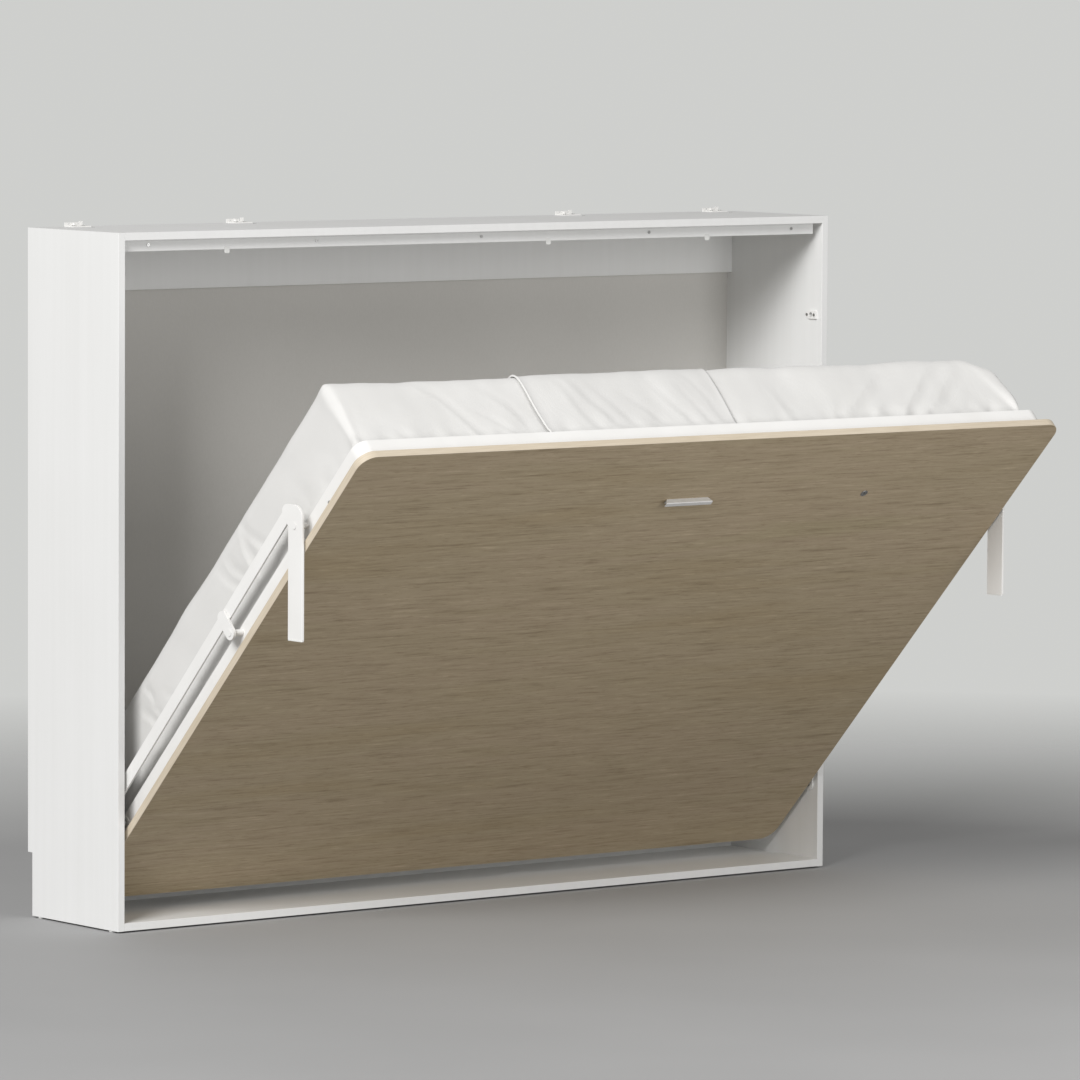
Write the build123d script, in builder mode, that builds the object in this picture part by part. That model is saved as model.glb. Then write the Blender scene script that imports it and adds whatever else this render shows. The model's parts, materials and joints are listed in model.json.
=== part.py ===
"""Horizontal folding wall bed: a shallow cabinet with a double bed that swings down
from its front, two self-levelling legs and gas struts.

Units are millimetres.  +X runs along the cabinet, +Y goes back to the wall and +Z is up.
The origin lies on the floor under the middle of the cabinet.  The bed is drawn upright,
as it stands in the closed cabinet, and then turned about its main hinge to the half-open
rest position.
"""
import os
from math import atan2, cos, degrees, hypot, radians, sin

from build123d import *

# ---------------------------------------------------------------- driving dimensions
WIDTH = 2100.0                 # cabinet, outside
DEPTH = 370.0
CARCASS_HEIGHT = 1600.0
BOARD = 18.0                   # melamine board
BACK_SHEET = 3.0
GLIDE_HEIGHT = 4.0
NOTCH_DEPTH = 18.0             # room for the skirting board behind the cabinet
NOTCH_HEIGHT = 148.0
TOP_RAIL_DROP = 133.0          # depth of the upper back rail
SEAM_HEIGHT = 660.0            # butt joint of the two back sheets above the carcass foot
STOP_RAIL_SETBACK = 20.0
STOP_RAIL_HEIGHT = 26.0
STOP_RAIL_THICK = 16.0

REST_ANGLE = 44.4              # bed opening in the rest position, degrees from upright
DOOR_LENGTH = 2038.0
DOOR_HEIGHT = 1520.0
DOOR_THICK = 18.0
DOOR_CORNER = 40.0
BAND_THICK = 1.0
DOOR_GAP = 27.0                # closed door above the underside of the carcass
HINGE_UP = 214.5               # main hinge above the lower edge of the door
HINGE_IN = 48.0                # main hinge behind the outer face of the door

FRAME_HALF = 995.0             # bed frame, half length outside
FRAME_LOW = 20.0               # its lower and upper outer edges, up the door
FRAME_HIGH = 1500.0
FRAME_IN = 20.0                # behind the outer face of the door
TUBE_DEEP = 46.0
TUBE_WIDE = 25.0
TUBE_WALL = 2.0
ELBOW = 30.0                   # outer radius of the frame corners

MATTRESS_LENGTH = 1980.0
MATTRESS_LOW = 92.0
MATTRESS_HIGH = 1490.0
MATTRESS_THICK = 200.0
MATTRESS_GAP = 1.5
BEDDING_BAND_LEFT = -440.0
BEDDING_BAND_RIGHT = 105.0
BEDDING_BAND_THICK = 3.0

SLAT_COUNT = 16
SLAT_PITCH = 118.0
SLAT_WIDE = 68.0
SLAT_THICK = 9.0

CRANK_BACK = 31.0              # every crank of the leg linkage points back and up by this
CRANK_UP = 31.0
LEG_UP = 1231.0                # leg pivot up the door
LEG_IN = 58.0
IDLER_UP = 875.0               # idler crank pivot up the door
LEG_WIDE = 54.0
LEG_THICK = 6.0
FOOT_PAD = 3.0
LINK_WIDE = 30.0
LINK_THICK = 5.0
PIN = 5.0                      # radius of the linkage pins
MAIN_PIN = 10.0
RUN = 0.05                     # radial running clearance

STRUT_ARM = 100.0              # lower strut pivot below the main hinge, along the rail
STRUT_TOP_BACK = 300.0         # upper strut pivot behind the cabinet front
STRUT_TOP_UP = 500.0           # and above the underside of the carcass

LOCK_X = 537.0
LOCK_UP = 1307.0
BOLT_UP = 1330.0
BOLT_IN = 36.5
CAM_ARM = 27.0
PULL_UP = 1317.0
PULL_HIGH = 12.0
PULL_STAND = 13.0              # how far the lip of the pull stands off the door
PULL_WALL = 3.0
PULL_FLANGE = 2.5
PULL_SCREW_X = (-45.0, 45.0)

# ---------------------------------------------------------------- derived places
FRONT = -DEPTH / 2
BACK = DEPTH / 2
FOOT = GLIDE_HEIGHT
TOP = FOOT + CARCASS_HEIGHT
INSIDE = WIDTH / 2 - BOARD
DOOR_FOOT = FOOT + DOOR_GAP
HINGE_Y = FRONT + HINGE_IN
HINGE_Z = DOOR_FOOT + HINGE_UP
HINGE_AXIS = Axis((0, HINGE_Y, HINGE_Z), (1, 0, 0))
LEG_PLATE = INSIDE - 8.5       # inner face of the leg plates
LINK_PLATE = INSIDE - 14.5     # inner face of the link bars
STRUT_X = INSIDE - 20.0
GAP = 0.5


def door_y(depth):
    """Y of a point that lies this far behind the outer face of the closed door."""
    return FRONT + depth


def door_z(height):
    """Z of a point this far up the closed door."""
    return DOOR_FOOT + height


def save(part, name):
    part.label = name
    export_step(part, f"parts/{name}.step")


def save_bed(part, name):
    """Turn a piece of the upright bed to the rest position and write it."""
    save(part.rotate(HINGE_AXIS, REST_ANGLE), name)


def save_pair(part, name, bed=False):
    """Write the right-hand piece and its mirror image as two nodes."""
    if bed:
        part = part.rotate(HINGE_AXIS, REST_ANGLE)
    save(part, f"{name}_right")
    save(mirror(part, about=Plane.YZ), f"{name}_left")


def add_block(x, y, z, mode=Mode.ADD):
    """A box from its low and high limits along X, Y and Z."""
    with Locations(((x[0] + x[1]) / 2, (y[0] + y[1]) / 2, (z[0] + z[1]) / 2)):
        Box(x[1] - x[0], y[1] - y[0], z[1] - z[0], mode=mode)


def add_rod_x(radius, x, y, z, mode=Mode.ADD):
    """A round bar along X between two limits."""
    with BuildSketch(Plane.YZ.offset(x[0])) as section:
        with Locations((y, z)):
            Circle(radius)
    extrude(section.sketch, amount=x[1] - x[0], mode=mode)


def add_rod_y(radius, x, y, z, mode=Mode.ADD):
    """A round bar along Y between two limits."""
    with BuildSketch(Plane.XZ.offset(-y[1])) as section:
        with Locations((x, z)):
            Circle(radius)
    extrude(section.sketch, amount=y[1] - y[0], mode=mode)


# ---------------------------------------------------------------- cabinet
def hinge_screw_places():
    """Y and Z of the four screws of a hinge plate."""
    y_low = HINGE_Y - 18
    y_high = HINGE_Y + CRANK_BACK + 22
    return [(y, z) for y in (y_low, y_high) for z in (HINGE_Z - 42, HINGE_Z + 62)]


STRUT_TOP_Y = FRONT + STRUT_TOP_BACK
STRUT_TOP_Z = FOOT + STRUT_TOP_UP
BOLT_Y = door_y(BOLT_IN)
BOLT_Z = door_z(BOLT_UP)
STRUT_SCREWS = [(STRUT_TOP_Y, STRUT_TOP_Z - 18), (STRUT_TOP_Y, STRUT_TOP_Z + 18)]
STRIKE_SCREWS = [(BOLT_Y - 13, BOLT_Z), (BOLT_Y + 14, BOLT_Z)]
SCREW_SHANK = 2.0
SCREW_HEAD = 3.8
PILOT_DEPTH = 13.0


def side_panel():
    with BuildPart() as panel:
        add_block((INSIDE, WIDTH / 2), (FRONT, BACK), (FOOT, TOP))
        front_edges = panel.edges().filter_by(Axis.Z).group_by(Axis.Y)[0]
        fillet(front_edges, 0.8)
        with BuildSketch(Plane.YZ.offset(INSIDE)):
            with Locations((BACK, FOOT)):
                Rectangle(2 * NOTCH_DEPTH, 2 * NOTCH_HEIGHT)
        extrude(amount=BOARD, mode=Mode.SUBTRACT)
        for y, z in hinge_screw_places() + STRUT_SCREWS + STRIKE_SCREWS:
            add_rod_x(SCREW_SHANK + RUN, (INSIDE, INSIDE + PILOT_DEPTH), y, z, Mode.SUBTRACT)
        add_rod_x(6.0, (INSIDE, INSIDE + 10), BOLT_Y, BOLT_Z, Mode.SUBTRACT)
    save(panel.part, "right_side_panel")
    save(mirror(panel.part, about=Plane.YZ), "left_side_panel")


def top_panel():
    with BuildPart() as panel:
        add_block((-INSIDE, INSIDE), (FRONT, BACK), (TOP - BOARD, TOP))
        fillet(panel.edges().filter_by(Axis.X).group_by(Axis.Y)[0], 0.8)
        with BuildSketch(Plane.XY.offset(TOP)):
            with Locations(*bracket_screw_places()):
                Circle(SCREW_SHANK + RUN)
        extrude(amount=-PILOT_DEPTH, mode=Mode.SUBTRACT)
        with BuildSketch(Plane.XY.offset(TOP)):
            with Locations(*CAP_PLACES):
                Circle(CAP_STEM + RUN)
        extrude(amount=-CAP_DEPTH, mode=Mode.SUBTRACT)
    save(panel.part, "top_panel")


def bottom_panel():
    with BuildPart() as panel:
        add_block((-INSIDE, INSIDE), (FRONT, BACK - NOTCH_DEPTH), (FOOT, FOOT + BOARD))
        fillet(panel.edges().filter_by(Axis.X).group_by(Axis.Y)[0], 0.8)
    save(panel.part, "bottom_panel")


def back_structure():
    """Upper and lower rails, the strip that roofs the skirting notch, and the thin backs."""
    sheet_face = BACK - BACK_SHEET
    notch_top = FOOT + NOTCH_HEIGHT
    with BuildPart() as top_back_rail:
        add_block((-INSIDE, INSIDE), (sheet_face - BOARD, sheet_face),
                  (TOP - BOARD - TOP_RAIL_DROP, TOP - BOARD))
        fillet(top_back_rail.edges().filter_by(Axis.X).group_by(Axis.Z)[0], 0.8)
    save(top_back_rail.part, "top_back_rail")
    with BuildPart() as bottom_back_rail:
        add_block((-INSIDE, INSIDE), (BACK - NOTCH_DEPTH - BOARD, BACK - NOTCH_DEPTH),
                  (FOOT + BOARD, notch_top + BOARD))
    save(bottom_back_rail.part, "bottom_back_rail")
    with BuildPart() as skirting_cap_strip:
        add_block((-INSIDE, INSIDE), (BACK - NOTCH_DEPTH, sheet_face), (notch_top, notch_top + BOARD))
    save(skirting_cap_strip.part, "skirting_cap_strip")
    with BuildPart() as lower_back_panel:
        add_block((-INSIDE, INSIDE), (sheet_face, BACK), (notch_top, FOOT + SEAM_HEIGHT))
    save(lower_back_panel.part, "lower_back_panel")
    with BuildPart() as upper_back_panel:
        add_block((-INSIDE, INSIDE), (sheet_face, BACK), (FOOT + SEAM_HEIGHT, TOP - BOARD))
    save(upper_back_panel.part, "upper_back_panel")


STOP_SCREW_X = (-955.0, -479.0, 0.0, 506.0, 949.0)
BUMPER_X = (-735.0, 200.0, 685.0)


def stop_rail():
    """Strip under the top panel that the closed bed comes to rest against."""
    face = FRONT + STOP_RAIL_SETBACK
    low = TOP - BOARD - STOP_RAIL_HEIGHT
    screw_z = low + 14
    with BuildPart() as rail:
        add_block((-INSIDE, INSIDE - 14), (face, face + STOP_RAIL_THICK), (low, TOP - BOARD))
        for x in STOP_SCREW_X:
            add_rod_y(SCREW_SHANK + RUN, x, (face, face + PILOT_DEPTH), screw_z, Mode.SUBTRACT)
    save(rail.part, "stop_rail")
    with BuildPart() as screws:
        for x in STOP_SCREW_X:
            add_rod_y(SCREW_HEAD, x, (face - 1.6, face), screw_z)
            add_rod_y(SCREW_SHANK, x, (face, face + PILOT_DEPTH - 1), screw_z)
            add_rod_y(1.2, x, (face - 1.6, face - 0.6), screw_z, Mode.SUBTRACT)
    save(screws.part, "stop_rail_screws")
    with BuildPart() as bumpers:
        for x in BUMPER_X:
            add_block((x - 7, x + 7), (face - 1.2, face), (low - 9, low + 6))
        fillet(bumpers.edges().filter_by(Axis.Y), 3)
    save(bumpers.part, "stop_bumpers")


BRACKET_X = (-924.0, -465.0, 517.0, 978.0)
BRACKET_LONG = 50.0
BRACKET_DEEP = 38.0
BRACKET_HIGH = 9.0
BRACKET_PLATE = 2.0
BRACKET_TAB_LONG = 10.0        # taller tab at the right end of the flange
BRACKET_TAB_HIGH = 11.5
BRACKET_HOLE_X = 13.0
BRACKET_HOLE_UP = 5.6
BRACKET_HOLE = 2.1
CAP_PLACES = [(x + 4, BACK - 76) for x in BRACKET_X]
CAP_RADIUS = 4.0
CAP_STEM = 2.5
CAP_DEPTH = 6.0


def bracket_screw_places():
    return [(x + side * BRACKET_HOLE_X, BACK - 22) for x in BRACKET_X for side in (-1, 1)]


def wall_brackets():
    """Angle brackets on top of the cabinet, each with two holes that face the wall."""
    with BuildPart() as brackets:
        for x in BRACKET_X:
            limits = (x - BRACKET_LONG / 2, x + BRACKET_LONG / 2)
            add_block(limits, (BACK - BRACKET_DEEP, BACK), (TOP, TOP + BRACKET_PLATE))
            add_block(limits, (BACK - BRACKET_PLATE, BACK), (TOP, TOP + BRACKET_HIGH))
            add_block((limits[1] - BRACKET_TAB_LONG, limits[1]), (BACK - BRACKET_PLATE, BACK),
                      (TOP, TOP + BRACKET_TAB_HIGH))
            with BuildSketch(Plane.YZ.offset(x - 1.5)):
                Polygon((BACK - BRACKET_PLATE, TOP + BRACKET_PLATE),
                        (BACK - BRACKET_PLATE, TOP + BRACKET_HIGH),
                        (BACK - BRACKET_HIGH, TOP + BRACKET_PLATE), align=None)
            extrude(amount=3)
            for side in (-1, 1):
                add_rod_y(BRACKET_HOLE, x + side * BRACKET_HOLE_X,
                          (BACK - BRACKET_PLATE, BACK), TOP + BRACKET_HOLE_UP, Mode.SUBTRACT)
        with BuildSketch(Plane.XY.offset(TOP)):
            with Locations(*bracket_screw_places()):
                Circle(SCREW_SHANK + RUN)
        extrude(amount=BRACKET_PLATE, mode=Mode.SUBTRACT)
    save(brackets.part, "wall_brackets")


PLATE = 4.0                    # hinge plates
PLATE_FACE = INSIDE - PLATE
STRIKE_FACE = INSIDE - 5.0
STRUT_BRACKET_FACE = INSIDE - 3.0


def hinge_plates():
    """Steel plate on the side panel with the main hinge pin and the link anchor."""
    link_y = HINGE_Y + CRANK_BACK
    link_z = HINGE_Z + CRANK_UP
    with BuildPart() as plate:
        with BuildSketch(Plane.YZ.offset(PLATE_FACE)):
            with Locations((HINGE_Y + 18, HINGE_Z + 10)):
                RectangleRounded(98, 130, 14)
        extrude(amount=PLATE)
        add_rod_x(MAIN_PIN + RUN, (PLATE_FACE, INSIDE), HINGE_Y, HINGE_Z, Mode.SUBTRACT)
        add_rod_x(PIN + RUN, (PLATE_FACE, INSIDE), link_y, link_z, Mode.SUBTRACT)
        for y, z in hinge_screw_places():
            add_rod_x(SCREW_SHANK + RUN, (PLATE_FACE, INSIDE), y, z, Mode.SUBTRACT)
    save_pair(plate.part, "hinge_plate")
    with BuildPart() as pins:
        add_rod_x(MAIN_PIN, (FRAME_HALF - 34, INSIDE - GAP), HINGE_Y, HINGE_Z)
        add_rod_x(MAIN_PIN + 4, (PLATE_FACE - 4, PLATE_FACE), HINGE_Y, HINGE_Z)
        chamfer(pins.edges().filter_by(GeomType.CIRCLE).group_by(Axis.X)[0], 1.5)
        mirror(about=Plane.YZ)
    save(pins.part, "main_pins")
    with BuildPart() as anchors:
        add_rod_x(PIN, (LINK_PLATE - 1, INSIDE - GAP), link_y, link_z)
        add_rod_x(PIN + 3, (LINK_PLATE - 3, LINK_PLATE - 1), link_y, link_z)
        mirror(about=Plane.YZ)
    save(anchors.part, "link_anchor_pins")


def strike_plates():
    """Catch plates that take the lock bolts, tapered towards the back."""
    with BuildPart() as strikes:
        with BuildSketch(Plane.YZ.offset(STRIKE_FACE)):
            Polygon((BOLT_Y - 18.5, BOLT_Z - 10), (BOLT_Y + 8, BOLT_Z - 10), (BOLT_Y + 19.5, BOLT_Z - 4),
                    (BOLT_Y + 19.5, BOLT_Z + 4), (BOLT_Y + 8, BOLT_Z + 10), (BOLT_Y - 18.5, BOLT_Z + 10),
                    align=None)
        extrude(amount=INSIDE - STRIKE_FACE)
        add_rod_x(6.0, (STRIKE_FACE, INSIDE), BOLT_Y, BOLT_Z, Mode.SUBTRACT)
        for y, z in STRIKE_SCREWS:
            add_rod_x(SCREW_SHANK + RUN, (STRIKE_FACE, INSIDE), y, z, Mode.SUBTRACT)
        mirror(about=Plane.YZ)
    save(strikes.part, "strike_plates")


def strut_top_brackets():
    with BuildPart() as brackets:
        with BuildSketch(Plane.YZ.offset(STRUT_BRACKET_FACE)):
            with Locations((STRUT_TOP_Y, STRUT_TOP_Z)):
                RectangleRounded(26, 54, 8)
        extrude(amount=INSIDE - STRUT_BRACKET_FACE)
        for y, z in STRUT_SCREWS:
            add_rod_x(SCREW_SHANK + RUN, (STRUT_BRACKET_FACE, INSIDE), y, z, Mode.SUBTRACT)
        add_rod_x(4.0, (STRUT_X - 8, STRUT_BRACKET_FACE), STRUT_TOP_Y, STRUT_TOP_Z)
        add_rod_x(7.0, (STRUT_X + 6, STRUT_BRACKET_FACE), STRUT_TOP_Y, STRUT_TOP_Z)
        mirror(about=Plane.YZ)
    save(brackets.part, "strut_top_brackets")


def cabinet_screws():
    """Wood screws of the hinge plates, strikes, strut brackets and wall brackets."""
    groups = [(PLATE_FACE, hinge_screw_places()), (STRIKE_FACE, STRIKE_SCREWS),
              (STRUT_BRACKET_FACE, STRUT_SCREWS)]
    with BuildPart() as screws:
        for face, places in groups:
            for y, z in places:
                add_rod_x(SCREW_HEAD, (face - 1.2, face), y, z)
                add_rod_x(SCREW_SHANK, (face, INSIDE + PILOT_DEPTH - 1), y, z)
                add_block((face - 1.2, face - 0.6), (y - 0.6, y + 0.6), (z - 2.5, z + 2.5), Mode.SUBTRACT)
        mirror(about=Plane.YZ)
        plate_top = TOP + BRACKET_PLATE
        with BuildSketch(Plane.XY.offset(plate_top)):
            with Locations(*bracket_screw_places()):
                Circle(SCREW_HEAD)
        extrude(amount=1.6)
        with BuildSketch(Plane.XY.offset(plate_top)):
            with Locations(*bracket_screw_places()):
                Circle(SCREW_SHANK)
        extrude(amount=-(BRACKET_PLATE + PILOT_DEPTH - 1))
    save(screws.part, "cabinet_screws")


def top_hole_caps():
    """Push-in caps over the four blind holes in the top panel."""
    with BuildPart() as caps:
        with BuildSketch(Plane.XY.offset(TOP)):
            with Locations(*CAP_PLACES):
                Circle(CAP_RADIUS)
        extrude(amount=0.8)
        with BuildSketch(Plane.XY.offset(TOP)):
            with Locations(*CAP_PLACES):
                Circle(CAP_STEM)
        extrude(amount=GAP - CAP_DEPTH)
    save(caps.part, "top_hole_caps")


def base_glides():
    """Round nail-on glides: two rows and one under the middle of the bottom panel."""
    inset = WIDTH / 2 - BOARD / 2
    places = [(x, y) for x in (-inset, -inset / 2, 0, inset / 2, inset) for y in (-150, 140)]
    with BuildPart() as glides:
        with BuildSketch():
            with Locations((0, 0), *places):
                Circle(8)
        extrude(amount=GLIDE_HEIGHT)
        chamfer(glides.edges().group_by(Axis.Z)[0], 0.6)
    save(glides.part, "base_glides")


# ---------------------------------------------------------------- bed, drawn upright
FRAME_Y = (door_y(FRAME_IN), door_y(FRAME_IN + TUBE_DEEP))
LINK_LENGTH = hypot(LEG_UP - HINGE_UP, LEG_IN - HINGE_IN)
IDLER_IN = HINGE_IN + (LEG_IN - HINGE_IN) * (IDLER_UP - HINGE_UP) / (LEG_UP - HINGE_UP)
LOCK_HOUSING = 8.0
LOCK_BARREL = 6.4
LOCK_COLLAR = 9.5


def door_outline(inset):
    """Rounded outline of the door on the plane of its inner face."""
    with Locations((0, DOOR_FOOT + DOOR_HEIGHT / 2)):
        RectangleRounded(DOOR_LENGTH - 2 * inset, DOOR_HEIGHT - 2 * inset, DOOR_CORNER - inset)


def door():
    inner_face = Plane.XZ.offset(-door_y(DOOR_THICK))
    with BuildPart() as panel:
        with BuildSketch(inner_face):
            door_outline(BAND_THICK)
        extrude(amount=DOOR_THICK)
        add_rod_y(LOCK_HOUSING + RUN, LOCK_X, (FRONT, door_y(DOOR_THICK)), door_z(LOCK_UP), Mode.SUBTRACT)
        for x in PULL_SCREW_X:
            add_rod_y(SCREW_SHANK + RUN, x, (FRONT, door_y(DOOR_THICK)), door_z(PULL_UP), Mode.SUBTRACT)
    save_bed(panel.part, "door_panel")
    with BuildPart() as band:
        with BuildSketch(inner_face):
            door_outline(0)
        extrude(amount=DOOR_THICK)
        fillet(band.faces().filter_by(Axis.Y).edges(), 0.6)
        with BuildSketch(inner_face):
            door_outline(BAND_THICK)
        extrude(amount=DOOR_THICK, mode=Mode.SUBTRACT)
    save_bed(band.part, "door_edge_band")


def pull_handle():
    """Lip pull: a flange on the door, a web off it and a lip hanging from the web, with flared ends."""
    low = door_z(PULL_UP) - PULL_HIGH / 2
    lip_back = FRONT - PULL_STAND + PULL_WALL
    with BuildPart() as pull:
        with BuildSketch(Plane.XY.offset(low)):
            Polygon((-60, FRONT), (-68, FRONT - PULL_STAND), (68, FRONT - PULL_STAND), (60, FRONT), align=None)
        extrude(amount=PULL_HIGH)
        chamfer(pull.edges().filter_by(Axis.X).group_by(Axis.Y)[0], 1.2)
        add_block((-70, 70), (lip_back, FRONT - PULL_FLANGE), (low, low + PULL_HIGH - PULL_WALL), Mode.SUBTRACT)
        for x in PULL_SCREW_X:
            add_rod_y(SCREW_SHANK + RUN, x, (FRONT - PULL_FLANGE, FRONT), door_z(PULL_UP), Mode.SUBTRACT)
    save_bed(pull.part, "pull_handle")
    with BuildPart() as screws:
        for x in PULL_SCREW_X:
            add_rod_y(SCREW_SHANK, x, (FRONT - PULL_FLANGE + GAP, door_y(DOOR_THICK)), door_z(PULL_UP))
            add_rod_y(SCREW_HEAD, x, (door_y(DOOR_THICK), door_y(DOOR_THICK) + 2.4), door_z(PULL_UP))
    save_bed(screws.part, "pull_handle_screws")


def hollow_tube(x, y, z, along):
    """A rectangular tube, open at its ends, from outer limits and the axis it runs along."""
    add_block(x, y, z)
    limits = [x, y, z]
    inner = [(low, high) if axis == along else (low + TUBE_WALL, high - TUBE_WALL)
             for axis, (low, high) in enumerate(limits)]
    add_block(*inner, mode=Mode.SUBTRACT)


def bed_frame():
    """Welded tube frame: two side rails, two long rails, rounded corners, a centre beam."""
    low = door_z(FRAME_LOW)
    high = door_z(FRAME_HIGH)
    with BuildPart() as side_rail:
        hollow_tube((FRAME_HALF - TUBE_WIDE, FRAME_HALF), FRAME_Y, (low + ELBOW, high - ELBOW), 2)
        holes = [(14.0 + RUN, HINGE_IN, HINGE_UP), (PIN + RUN, LEG_IN, LEG_UP),
                 (PIN + RUN, IDLER_IN, IDLER_UP), (PIN + RUN, BOLT_IN, BOLT_UP)]
        for radius, depth, height in holes:
            add_rod_x(radius, (FRAME_HALF - TUBE_WIDE, FRAME_HALF), door_y(depth), door_z(height),
                      Mode.SUBTRACT)
    save_pair(side_rail.part, "frame_side_rail", bed=True)
    for name, z in (("frame_top_rail", (high - TUBE_WIDE, high)), ("frame_bottom_rail", (low, low + TUBE_WIDE))):
        with BuildPart() as long_rail:
            hollow_tube((ELBOW - FRAME_HALF, FRAME_HALF - ELBOW), FRAME_Y, z, 0)
        save_bed(long_rail.part, name)
    with BuildPart() as elbows:
        for z, sign in ((high - ELBOW, 1), (low + ELBOW, -1)):
            with BuildSketch(Plane.XZ.offset(-FRAME_Y[1])):
                with Locations((FRAME_HALF - ELBOW, z)):
                    Circle(ELBOW)
                    Circle(ELBOW - TUBE_WIDE, mode=Mode.SUBTRACT)
                with Locations((FRAME_HALF - ELBOW / 2, z + sign * ELBOW / 2)):
                    Rectangle(ELBOW, ELBOW, mode=Mode.INTERSECT)
            extrude(amount=TUBE_DEEP)
        mirror(about=Plane.YZ)
    save_bed(elbows.part, "frame_corner_elbows")
    reach = FRAME_HALF - TUBE_WIDE
    with BuildPart() as centre_beam:
        hollow_tube((-reach, reach), (door_y(FRAME_IN), door_y(FRAME_IN) + 34), (door_z(742), door_z(772)), 0)
    save_bed(centre_beam.part, "centre_beam")


SLAT_Y = door_y(55.0)
SLAT_X = [(index - (SLAT_COUNT - 1) / 2) * SLAT_PITCH for index in range(SLAT_COUNT)]


def slatted_base():
    low = door_z(FRAME_LOW) + TUBE_WIDE + 2
    high = door_z(FRAME_HIGH) - TUBE_WIDE - 2
    with BuildPart() as slats:
        for x in SLAT_X:
            add_block((x - SLAT_WIDE / 2, x + SLAT_WIDE / 2), (SLAT_Y, SLAT_Y + SLAT_THICK), (low, high))
        fillet(slats.edges().filter_by(Axis.Z), 2)
    save_bed(slats.part, "slats")
    pocket = 0.3
    rim = 1.8
    with BuildPart() as holders:
        for x in SLAT_X:
            for end, cap in ((low, (low - 2, low + 28)), (high, (high - 28, high + 2))):
                half = SLAT_WIDE / 2 + pocket + rim
                add_block((x - half, x + half), (SLAT_Y - rim - pocket, SLAT_Y + SLAT_THICK + rim + pocket), cap)
                half -= rim
                hole = (low, cap[1]) if end == low else (cap[0], high)
                add_block((x - half, x + half), (SLAT_Y - pocket, SLAT_Y + SLAT_THICK + pocket), hole,
                          Mode.SUBTRACT)
    save_bed(holders.part, "slat_holders")


MATTRESS_Y = (FRAME_Y[1] + MATTRESS_GAP, FRAME_Y[1] + MATTRESS_GAP + MATTRESS_THICK)


def mattress():
    half = MATTRESS_LENGTH / 2
    low = door_z(MATTRESS_LOW)
    high = door_z(MATTRESS_HIGH)
    with BuildPart() as body:
        add_block((-half, half), MATTRESS_Y, (low, high))
        fillet(body.edges().filter_by(Axis.Y), 45)
        fillet(body.faces().sort_by(Axis.Y)[-1].edges(), 32)
        fillet(body.faces().sort_by(Axis.Y)[0].edges(), 12)
    save_bed(body.part, "mattress")
    inner_gap = 0.6
    with BuildPart() as band:
        with BuildSketch(Plane.YZ.offset(BEDDING_BAND_LEFT)):
            grown = inner_gap + BEDDING_BAND_THICK
            for grow, mode in ((grown, Mode.ADD), (inner_gap, Mode.SUBTRACT)):
                with Locations((MATTRESS_Y[0], (low + high) / 2)):
                    RectangleRounded(2 * (MATTRESS_THICK + grow), high - low + 2 * grow, 32 + grow, mode=mode)
            with Locations((MATTRESS_Y[0] + 1 - MATTRESS_THICK, (low + high) / 2)):
                Rectangle(2 * MATTRESS_THICK, high - low + 100, mode=Mode.SUBTRACT)
        extrude(amount=BEDDING_BAND_RIGHT - BEDDING_BAND_LEFT)
    save_bed(band.part, "bedding_band")


def frame_hardware():
    """Hinge bushes, pivot bolts, strut brackets and clips, all fixed to the bed frame."""
    rail_in = FRAME_HALF - TUBE_WIDE
    hinge_y = door_y(HINGE_IN)
    hinge_z = door_z(HINGE_UP)
    with BuildPart() as bushes:
        add_rod_x(14.0, (rail_in - 2, FRAME_HALF), hinge_y, hinge_z)
        add_rod_x(17.0, (FRAME_HALF, FRAME_HALF + 3), hinge_y, hinge_z)
        add_rod_x(MAIN_PIN + RUN, (rail_in - 2, FRAME_HALF + 3), hinge_y, hinge_z, Mode.SUBTRACT)
        mirror(about=Plane.YZ)
    save_bed(bushes.part, "main_bushes")
    with BuildPart() as bolts:
        for depth, height in ((LEG_IN, LEG_UP), (IDLER_IN, IDLER_UP)):
            y = door_y(depth)
            z = door_z(height)
            add_rod_x(PIN, (rail_in - 8, INSIDE - 1), y, z)
            add_rod_x(7.5, (FRAME_HALF, LEG_PLATE - GAP), y, z)
            add_rod_x(7.5, (LEG_PLATE + LEG_THICK + 0.3, INSIDE - 0.9), y, z)
            with BuildSketch(Plane.YZ.offset(rail_in - 7)):
                with Locations((y, z)):
                    RegularPolygon(7.6, 6)
            extrude(amount=7)
        mirror(about=Plane.YZ)
    save_bed(bolts.part, "pivot_bolts")
    with BuildPart() as brackets:
        with BuildSketch(Plane.YZ.offset(FRAME_HALF)):
            with Locations((hinge_y, hinge_z - STRUT_ARM)):
                RectangleRounded(30, 60, 8)
        extrude(amount=3)
        mirror(about=Plane.YZ)
    save_bed(brackets.part, "strut_lower_brackets")
    face = door_y(DOOR_THICK)
    with BuildPart() as clips:
        for side in (-1, 1):
            inner = side * (rail_in - 1)
            for height in (160, 520, 1000, 1400):
                x = sorted((inner, inner - side * 30))
                add_block(x, (face, face + 2), (door_z(height) - 20, door_z(height) + 20))
                x = sorted((inner, inner - side * 2))
                add_block(x, (face, face + 24), (door_z(height) - 20, door_z(height) + 20))
        for x in (-720, -240, 240, 720):
            for z, sign in ((door_z(FRAME_HIGH) - TUBE_WIDE - 1, -1), (door_z(FRAME_LOW) + TUBE_WIDE + 1, 1)):
                add_block((x - 20, x + 20), (face, face + 2), sorted((z, z + sign * 30)))
                add_block((x - 20, x + 20), (face, face + 24), sorted((z, z + sign * 2)))
    save_bed(clips.part, "panel_clips")


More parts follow.
